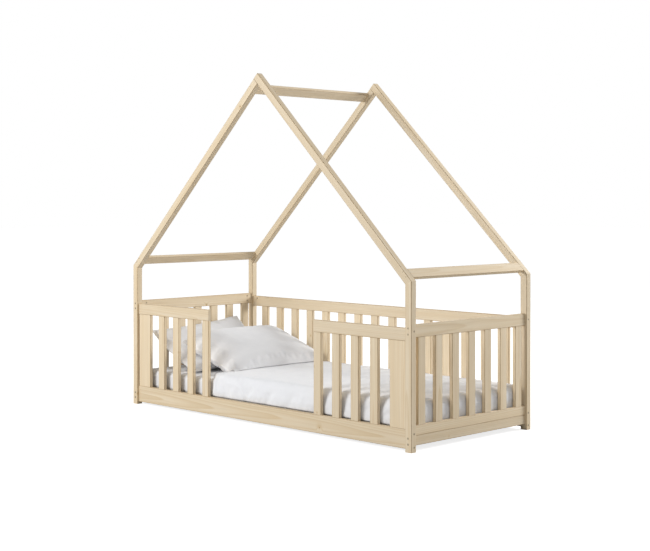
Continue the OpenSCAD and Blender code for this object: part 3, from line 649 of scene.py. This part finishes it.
@dataclass(frozen=True)
class Pillow(Soft):
    """A filled pillow that leans on what is behind it.

    Fields: CAD node, width down the slope, length across the bed and thickness in metres,
    slope and sideways tilt in degrees, seed of its creases, share of the thickness that is
    on its upper side, fullness of its sides (a lower number is fuller), how far it sags
    between its edges, its front end droops, it is moved across the bed and it is pressed
    into its support in metres, share by which its corners at the back are tucked in.
    """

    node: str
    width: float
    length: float
    thick: float
    slope: float
    roll: float
    seed: int
    upper: float = 0.5
    full: float = 0.42
    sag: float = 0.0
    droop: float = 0.0
    across: float = 0.0
    press: float = 0.0
    tuck: float = 0.0

    CELL = 0.0085  # width of a cell of its grid
    SEAM = 0.00075  # half thickness at the seam
    SOFT = 0.012  # height over its support within which the filling gives way
    HELD = 0.0016  # height within which a point belongs to the seam
    COVER = 0.0012  # distance of its lower face from its support
    ROOM = 0.002  # room for the cover of a pillow that another one lies on

    def point(self, u: float, v: float, top: bool) -> Vector:
        """Gives a point of the pillow in its own frame.

        Args:
            u: place across the bed, from -1 to 1.
            v: place down the slope, from -1 to 1.
            top: whether the point is on the upper side.

        Returns:
            The point, with X down the slope, Y across the bed and Z upwards.
        """
        body = ((1 - u * u) * (1 - v * v)) ** self.full
        share = self.upper if top else 1 - self.upper
        corner = 1 - self.tuck * max(u, 0.0) ** 4 * v**4
        return Vector((
            self.width / 2 * v * (1 - 0.055 * (1 - u * u)) * corner,
            self.length / 2 * u * (1 - 0.04 * (1 - v * v)) * corner,
            (1 if top else -1) * (self.SEAM + (self.thick * share - self.SEAM) * body),
        ))

    def build(self, material: Material, swell: Swell, under: Ground) -> Piece:
        """Builds the pillow.

        Args:
            material: finish of its cover.
            swell: how its cover creases.
            under: gives the height of what it lies on at a place of the bed.

        Returns:
            The piece.
        """
        cells = (round(self.length / self.CELL), round(self.width / self.CELL))

        def even(k: float, n: int) -> float:
            """Spaces the grid so that the cells near the seam are not stretched."""
            t = 2 * k / n - 1
            return 0.55 * math.sin(math.pi / 2 * t) + 0.45 * t

        def shape(i: float, j: float, top: bool) -> Vector:
            """Gives a grid point with a slight start of its creases."""
            u, v = even(i, cells[0]), even(j, cells[1])
            spot = self.point(u, v, top)
            spot.z += 0.0006 * ripple(spot.x * 30, spot.y * 30, float(top), self.seed)
            return spot

        mesh, _ = padded_slab(cells, shape)
        seam = [v.index for v in mesh.verts if abs(v.co.z) < self.HELD]
        piece = self.place(mesh, material)
        swell.run(piece, seam)
        self.settle(piece, under)
        self.smoothing(piece)
        self.report(piece)
        return piece

    def settle(self, piece: Piece, under: Ground) -> None:
        """Leans the pillow in its CAD solid's place and lets it give way to its support.

        Args:
            piece: the pillow, in its own frame.
            under: gives the height of what it lies on at a place of the bed.
        """
        low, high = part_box(self.node)
        roll = Euler((math.radians(self.roll), 0, 0)).to_matrix()
        turn = roll @ Euler((0, math.radians(self.slope), 0)).to_matrix()
        for vertex in piece.data.vertices:
            down = vertex.co.x * 2 / self.width
            vertex.co.z -= self.sag * max(0.0, 1 - down * down)
        piece.data.transform(turn.to_4x4())
        points = [v.co for v in piece.data.vertices]
        ends = [(min(p[k] for p in points), max(p[k] for p in points)) for k in range(3)]
        middle = Vector([(a + b) / 2 for a, b in ends])
        shift = (low + high) / 2 - middle
        shift += Vector((0, self.across, low.z - self.press - (shift.z + ends[2][0])))
        piece.data.transform(Matrix.Translation(shift))
        for vertex in piece.data.vertices:
            spot = vertex.co
            spot.z -= self.droop * smooth((shift.y + middle.y - spot.y) * 2 / self.length, 0.45, 1.0)
            floor = under(spot.x, spot.y) + self.COVER
            over = spot.z - floor
            if over < self.SOFT:
                spot.z = floor + self.SOFT * math.exp(over / self.SOFT - 1)

    @staticmethod
    def heap(piece: Piece, under: Ground) -> Ground:
        """Returns the ground of the next pillow: a pillow that is there, and what is under it."""
        data = piece.data
        tree = BVHTree.FromPolygons([v.co for v in data.vertices], [face.vertices for face in data.polygons])

        def height(x: float, y: float) -> float:
            """Gives the height of the pillow's upper face, with a little room for its cover."""
            hit = tree.ray_cast(Vector((x, y, 1.0)), Vector((0, 0, -1)))[0]
            return max(under(x, y), hit.z + Pillow.ROOM) if hit else under(x, y)

        return height


@dataclass(frozen=True)
class Duvet(Soft):
    """A quilt draped over the mattress, hanging down at the sides and the foot.

    Fields: CAD node; core half length and half width of the mattress without its rounded
    edge; head edge of the quilt; radius of its inner face at the edge of the mattress and
    height of that face; thickness hanging and lying; heights of crown and hem; seed.
    """

    node: str = "duvet"
    core_x: float = 0.976
    core_y: float = 0.376
    start: float = -0.405
    radius: float = 0.0264
    level: float = 0.1945
    hang: float = 0.007
    lying: float = 0.030
    crown: float = 0.010
    hem: float = 0.104
    seed: int = 3

    ARC = 5.0  # steps of the CAD's drape round the edge of the mattress
    PAST = 7.0  # steps of the CAD's drape past the flat top
    LINES = 7  # lines of the grid round the edge, and again down to the hem
    CELL = 0.0118  # width of a cell of its grid on the flat top
    REACH = (1.0098, 0.4176)  # greatest X and Y, just inside the fences

    def stations(self, flat: float) -> list[tuple[float, float]]:
        """Lists the grid's lines up to a hem: place on the flat top, and steps past it."""
        count = round(flat / self.CELL)
        top = [(flat * k / count, 0.0) for k in range(count + 1)]
        steps = [k / self.LINES for k in range(1, self.LINES + 1)]
        arc = [(flat, self.ARC * step) for step in steps]
        return top + arc + [(flat, self.ARC + (self.PAST - self.ARC) * step) for step in steps]

    def thickness(self, along: float, past: float) -> float:
        """Gives the share of the full thickness near the head edge and the hem."""
        head = min(1.0, max(0.0, along / 0.022))
        stitch = math.exp(-(((along - 0.052) / 0.009) ** 2))
        roll = 0.22 + 0.78 * math.sqrt(1 - (1 - head) ** 2) - 0.34 * stitch
        hem = min(1.0, max(0.0, (self.PAST - past) / 0.7))
        return roll * (0.35 + 0.65 * math.sqrt(1 - (1 - hem) ** 2))

    def point(self, along: float, past_x: float, across: float, past_y: float, top: bool) -> Vector:
        """Gives a point of the quilt.

        Args:
            along: distance from the head edge on the flat top.
            past_x: steps past the foot end of the flat top.
            across: place across the flat top, from the middle.
            past_y: steps past the side of the flat top.
            top: whether the point is on the outer face.

        Returns:
            The point in the row frame.
        """
        past = max(past_x, past_y)
        side = math.copysign(1.0, across)
        turn = math.pi / 2 * past_y / (past_x + past_y) if past else 0.0
        square = min(1.0, max(0.0, (self.ARC - past) / (self.ARC - 2)))
        out = max(math.cos(turn), math.sin(turn)) ** -square
        edge = self.thickness(along, past) if top else 0.0
        angle = math.pi / 2 * min(past, self.ARC) / self.ARC
        drop = max(0.0, past - self.ARC) / (self.PAST - self.ARC)
        reach = (self.radius + edge * self.hang) * math.sin(angle) * out
        height = self.level - self.radius + (self.radius + edge * self.lying) * math.cos(angle)
        height -= (self.level - self.radius - self.hem) * drop
        if top:
            foot = math.cos(turn) ** 2
            hanging = smooth(past, self.ARC * 0.55, self.ARC + 0.7)
            folds = foot * self.foot_fold(across, drop) + (1 - foot) * self.side_fold(along, drop)
            reach += hanging * folds
            height += self.swell(along, across) * math.cos(angle)
        return Vector((
            self.start + along + reach * math.cos(turn),
            across + side * reach * math.sin(turn),
            height,
        ))

    def swell(self, along: float, across: float) -> float:
        """Gives the height of the crown, its soft hills and its creases over the flat top."""
        foot = self.core_x - self.start - along
        flat = max(0.0, 1 - (abs(across) / self.core_y) ** 4)
        body = self.crown * flat * smooth(along, -0.01, 0.14) * smooth(foot, -0.03, 0.13)
        hills = 0.0034 * ripple(along * 5.5, across * 8.0, 0.0, self.seed)
        hills += 0.0020 * ripple(along * 15.0, across * 19.0, 0.4, self.seed)
        bend = ripple(along * 4.0, across * 4.0, 0.9, self.seed)
        crease = ridge(26 * along + 31 * across + 3.0 * bend) * smooth(along, 0.55, 1.05)
        return body + hills * smooth(along, 0.05, 0.16) * (0.35 + 0.65 * flat) + 0.0030 * crease * flat

    def foot_fold(self, across: float, drop: float) -> float:
        """Gives how far the slanting folds of the foot stand out, and the tuck below its edge."""
        bend = ripple(across * 5.0, drop * 0.7, 0.0, self.seed + 1)
        wave = overlap(50 * across - 2.6 * drop + 1.8 * bend)
        return 0.0030 * wave - 0.0026 * math.sin(math.pi * min(1.0, drop * 1.15)) ** 2

    def side_fold(self, along: float, drop: float) -> float:
        """Gives how far a side stands out: its belly, its upright folds and its gathered hem."""
        bend = ripple(along * 3.0, drop * 0.5, 0.0, self.seed + 2)
        gather = math.sin(150 * along + 5 * bend) * smooth(drop, 0.3, 1.0)
        belly = smooth(drop, 0.0, 0.6) * smooth(along, 0.0, 0.05)
        fold = ridge(40 * along + 0.9 * drop + 2.6 * bend)
        return 0.0055 * belly + 0.0022 * fold + 0.0005 * gather

    def top(self, x: float, y: float) -> float:
        """Gives the height of the quilt's upper face at a place, the sheet's where it ends."""
        along = x - self.start
        if along < 0 or abs(y) > self.core_y:
            return self.level
        return self.level + self.lying * self.thickness(along, 0.0) + self.swell(along, y)

    def build(self, material: Material, swell: Swell) -> None:
        """Builds the duvet.

        Args:
            material: finish of its cover.
            swell: how its cover creases.
        """
        long = self.stations(self.core_x - self.start)
        half = self.stations(self.core_y)
        wide = [(-a, p) for a, p in reversed(half[1:])] + half

        def shape(i: float, j: float, top: bool) -> Vector:
            """Gives a grid point of the drape."""
            along, past_x = long[round(i)]
            across, past_y = wide[round(j)]
            return self.point(along, past_x, across, past_y, top)

        mesh, layers = padded_slab((len(long) - 1, len(wide) - 1), shape)
        held = {index for index, top in enumerate(layers) if not top}
        held |= {v.index for v in mesh.verts if any(e.other_vert(v).index in held for e in v.link_edges)}
        piece = self.place(mesh, material)
        swell.run(piece, held)
        self.clear(piece)
        self.smoothing(piece)
        self.report(piece)

    def clear(self, piece: Piece) -> None:
        """Keeps the quilt off the fences: it lies flat where it would reach them."""
        foot, side = self.REACH
        for vertex in piece.data.vertices:
            vertex.co.x = min(vertex.co.x, foot)
            vertex.co.y = min(side, max(-side, vertex.co.y))


@dataclass(frozen=True)
class Block:
    """A block with rounded corners and edges, such as a mattress or the cloth round it.

    Fields: lowest and highest corner, radius of its upright corners and of its long edges,
    spacing of the lines that divide its faces, all in metres.
    """

    low: Vector
    high: Vector
    corner: float
    edge: float
    cell: float

    CORNER_STEPS = 8  # faces round an upright corner
    EDGE_STEPS = 6  # faces round a long edge
    DOUBLES = 0.0004  # distance within which vertices are merged

    def mesh(self) -> Mesh:
        """Makes the closed block, in the row frame."""
        mesh = bmesh.new()
        bmesh.ops.create_cube(mesh, size=1.0)
        size = self.high - self.low
        bmesh.ops.scale(mesh, vec=size, verts=mesh.verts)
        bmesh.ops.translate(mesh, vec=(self.low + self.high) / 2, verts=mesh.verts)
        upright = [e for e in mesh.edges if abs(e.verts[0].co.z - e.verts[1].co.z) > size.z / 2]
        settings = {"affect": "EDGES", "profile": 0.5, "material": -1, "offset_type": "OFFSET"}
        bmesh.ops.bevel(mesh, geom=upright, offset=self.corner, segments=self.CORNER_STEPS, **settings)
        level = [
            e for e in mesh.edges
            if abs(e.verts[0].co.z - e.verts[1].co.z) < 1e-6 and e.calc_face_angle(0.0) > 0.5
        ]
        bmesh.ops.bevel(mesh, geom=level, offset=self.edge, segments=self.EDGE_STEPS, **settings)
        for axis in range(3):
            steps = max(1, round(size[axis] / (self.cell if axis < 2 else self.cell / 2)))
            normal = Vector((axis == 0, axis == 1, axis == 2))
            for k in range(1, steps):
                place = self.low.copy()
                place[axis] += size[axis] * k / steps
                every = [*mesh.verts, *mesh.edges, *mesh.faces]
                bmesh.ops.bisect_plane(mesh, geom=every, dist=1e-5, plane_co=place, plane_no=normal)
        bmesh.ops.remove_doubles(mesh, verts=mesh.verts, dist=self.DOUBLES)
        return mesh


@dataclass(frozen=True)
class Mattress(Soft):
    """The foam mattress in its quilted cover.

    Fields: CAD node, its material slot, radius of its corners and of its long edges.
    """

    node: str = "mattress"
    slot: str = "mattress_cover"
    corner: float = 0.040
    edge: float = 0.024

    CELL = 0.1  # spacing of the lines that divide it

    def build(self, material: Material) -> Piece:
        """Builds the mattress with the finish of its cover."""
        low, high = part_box(self.node)
        piece = self.place(Block(low, high, self.corner, self.edge, self.CELL).mesh(), material)
        self.report(piece)
        return piece


@dataclass(frozen=True)
class FittedSheet(Soft):
    """The cotton sheet stretched over the mattress, its hem gathered below it.

    Fields: CAD node, its material slot, radius of its corners and of its long edges,
    thickness of the cloth, width of its hem below the mattress, seed of its creases.
    """

    node: str = "fitted_sheet"
    slot: str = "sheet_cotton"
    corner: float = 0.041
    edge: float = 0.025
    cloth: float = 0.0008
    hem: float = 0.070
    seed: int = 8

    CELL = 0.022  # spacing of the lines that divide it
    INSET = 0.0009  # distance of the cloth's middle from the faces of its CAD solid
    FLOOR = 0.004  # height over its lowest point below which faces belong to the underside

    def build(self, material: Material, under: Piece) -> None:
        """Builds the sheet.

        Args:
            material: finish of its cloth.
            under: the mattress that it is stretched over; not used.
        """
        low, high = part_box(self.node)
        inset = Vector((self.INSET, self.INSET, self.INSET))
        mesh = Block(low + inset, high - inset, self.corner, self.edge, self.CELL).mesh()
        reach, side, floor = high.x - self.hem, high.y - self.hem, low.z + self.FLOOR
        middles = {face: face.calc_center_median() for face in mesh.faces}
        opening = [f for f, m in middles.items() if abs(m.x) < reach and abs(m.y) < side and m.z < floor]
        bmesh.ops.delete(mesh, geom=opening, context="FACES")
        mesh.normal_update()
        for vertex in mesh.verts:
            vertex.co += vertex.normal * self.crease(vertex.co, high)
        piece = self.place(mesh, material)
        body = piece.modifiers.new("cloth_thickness", "SOLIDIFY")
        body.thickness = self.cloth
        body.offset = 0.0
        self.report(piece)

    def crease(self, spot: Vector, high: Vector) -> float:
        """Gives the height of the sheet's creases at a point: long pulls from the corners."""
        open_head = 1 - smooth(spot.x, -0.46, -0.41)
        corner = smooth(abs(spot.x), high.x - 0.25, high.x)
        pull = ripple(spot.x * 7 + spot.z * 5, spot.y * 16, spot.z * 4, self.seed)
        gather = ripple(spot.x * 40, spot.y * 40, 0.0, self.seed + 1) * corner
        return open_head * (0.0006 * pull + 0.0005 * gather)


# Studio


@dataclass(frozen=True)
class Lamp:
    """A soft square lamp of white light. Fields: name, place, power in watts."""

    name: str
    place: tuple[float, float, float]
    power: float

    AIM = Vector((0.0, 0.0, 0.5))
    SIZE = 2.5  # width and height in metres

    def hang(self) -> None:
        """Hangs the lamp in the scene, aimed at the bed."""
        data = bpy.data.lights.new(self.name, "AREA")
        data.shape = "RECTANGLE"
        data.size = data.size_y = self.SIZE
        data.energy = self.power
        lamp = bpy.data.objects.new(self.name, data)
        lamp.location = self.place
        lamp.rotation_euler = (self.AIM - Vector(self.place)).to_track_quat("-Z", "Y").to_euler()
        bpy.context.scene.collection.objects.link(lamp)


class Studio:
    """The white photo studio: floor, surrounding light, lamps and camera."""

    LAMPS = (
        Lamp("front_lamp", (-2.0, -5.5, 2.5), 228.0),
        Lamp("far_lamp", (3.0, 5.0, 3.0), 330.0),
        Lamp("head_lamp", (-4.5, 2.0, 3.0), 22.0),
    )

    FLOOR_REACH = 40.0  # from the bed to the edges of the floor
    FLOOR_Z = -0.0005  # just under the posts
    GLOW = 0.80  # light that the floor adds where it is seen, to meet the white behind it
    DIM = 0.42  # strength of the surrounding light on the bed

    def floor(self) -> None:
        """Lays the white floor, which keeps the bed's shadow."""
        mesh = bmesh.new()
        bmesh.ops.create_grid(mesh, x_segments=1, y_segments=1, size=self.FLOOR_REACH)
        bmesh.ops.translate(mesh, vec=(0, 0, self.FLOOR_Z), verts=mesh.verts)
        data = bpy.data.meshes.new("studio_floor")
        mesh.to_mesh(data)
        mesh.free()
        shade = Shade(bpy.data.materials.new("white_studio_floor"))
        matt = shade.add("BsdfDiffuse", {"Color": linear("#BCBCBC")})
        glow = shade.add("Emission", {"Color": WHITE, "Strength": self.GLOW})
        seen = shade.add("LightPath").outputs["Is Camera Ray"]
        dark = shade.add("Emission", {"Color": (0, 0, 0, 1), "Strength": 0.0})
        lift = shade.add("MixShader", {0: seen, 1: dark.outputs[0], 2: glow.outputs[0]})
        both = shade.add("AddShader", {0: matt.outputs[0], 1: lift.outputs[0]})
        shade.add("OutputMaterial", {"Surface": both.outputs[0]})
        data.materials.append(shade.owner)
        piece = bpy.data.objects.new("studio_floor", data)
        bpy.context.scene.collection.objects.link(piece)

    def surround(self) -> None:
        """Sets the surrounding light: white where it is seen, softer where it lights."""
        world = bpy.data.worlds.new("studio_light")
        shade = Shade(world)
        path = shade.add("LightPath").outputs
        seen = shade.math("MAXIMUM", path["Is Camera Ray"], path["Is Transmission Ray"])
        soft = shade.add("Background", {"Color": WHITE, "Strength": self.DIM}).outputs[0]
        white = shade.add("Background", {"Color": WHITE, "Strength": 1.0}).outputs[0]
        mix = shade.add("MixShader", {0: seen, 1: soft, 2: white}).outputs[0]
        shade.add("OutputWorld", {"Surface": mix})
        bpy.context.scene.world = world

    def camera(self) -> None:
        """Puts the camera where the photograph was taken from."""
        data = bpy.data.cameras.new("photo_camera")
        data.sensor_width = 36.0
        data.lens = 73.81
        data.shift_y = -0.118
        data.clip_end = 200.0
        camera = bpy.data.objects.new("photo_camera", data)
        camera.location = (5.029, -4.9575, 1.148)
        camera.rotation_euler = (math.pi / 2, 0, math.radians(45.2))
        bpy.context.scene.collection.objects.link(camera)
        bpy.context.scene.camera = camera

    def build(self) -> None:
        """Sets up the whole studio."""
        self.floor()
        self.surround()
        for lamp in self.LAMPS:
            lamp.hang()
            log.info("studio: %s, %.0f W", lamp.name, lamp.power)
        self.camera()
        bpy.context.scene.view_settings.view_transform = "Standard"


# Whole bed


def main() -> None:
    """Dresses the frame, builds the soft pieces and sets up the studio."""
    by_slot: dict[str, list[str]] = {}
    for part in frame["record"]["subparts"]:
        by_slot.setdefault(part["material_slot"], []).append(part["node"])

    # Pine: pale early wood, warmer late wood, brown pin knots, satin lacquer
    pine = WoodFinish("lacquered_pine", "#E8D8BD", "#D7BE95", "#9A7044", 0.0058, 0.30, 0.45)
    # Base: the same wood left raw, a little yellower and duller
    raw = WoodFinish("raw_pine", "#DDC69A", "#BE9C66", "#7E5630", 0.0060, 0.35, 0.62)
    Woodwork("frame", pine, 5, 11).dress(by_slot["frame_pine"])
    Woodwork("base", raw, 3, 7).dress(by_slot["base_wood"])
    # Steel: dull zinc with a brown tinge
    steel = SteelFinish("zinc_plated_steel", "#BDAF97", 0.60).make()
    for node in by_slot["fastener_steel"]:
        paint(node, steel)
        log.info("hardware: %s", node)

    # Cottons: cool white percale, matt, with small creases; a duller cover for the mattress
    percale = ClothFinish("white_percale", "#EEEFF2", Weave.PERCALE, 0.00045, 0.12).make()
    jersey = ClothFinish("white_sheet_cotton", "#EBECEF", Weave.JERSEY, 0.00020, 0.10, laid=False)
    ticking = ClothFinish("mattress_ticking", "#ECEBE6", Weave.TICKING, 0.00030, 0.10, laid=False)

    mattress = Mattress().build(ticking.make())
    FittedSheet().build(jersey.make(), mattress)
    duvet = Duvet()
    duvet.build(percale, Swell(1.2, 0.022, 3.0, 0.003))
    puff = Swell(4.0, 0.025, 2.0, 0.008)

    def under(x: float, y: float) -> float:
        """Gives the height of the bedding below the pillows, with room for the quilt to swell."""
        return duvet.top(x, y) + (0.0035 if x > duvet.start - 0.004 else 0.0)

    back = Pillow("back_pillow", 0.43, 0.64, 0.092, 28.0, 4.0, 2, sag=0.030)
    front = Pillow(
        "front_pillow", 0.50, 0.68, 0.138, 19.0, 0.0, 1, 0.50, 0.34,
        droop=0.030, across=0.044, press=0.026, tuck=0.08,
    )
    front.build(percale, puff, Pillow.heap(back.build(percale, puff, under), under))

    Studio().build()


if __name__ == "__main__":
    logging.basicConfig(level=logging.INFO, format="%(message)s")
    main()
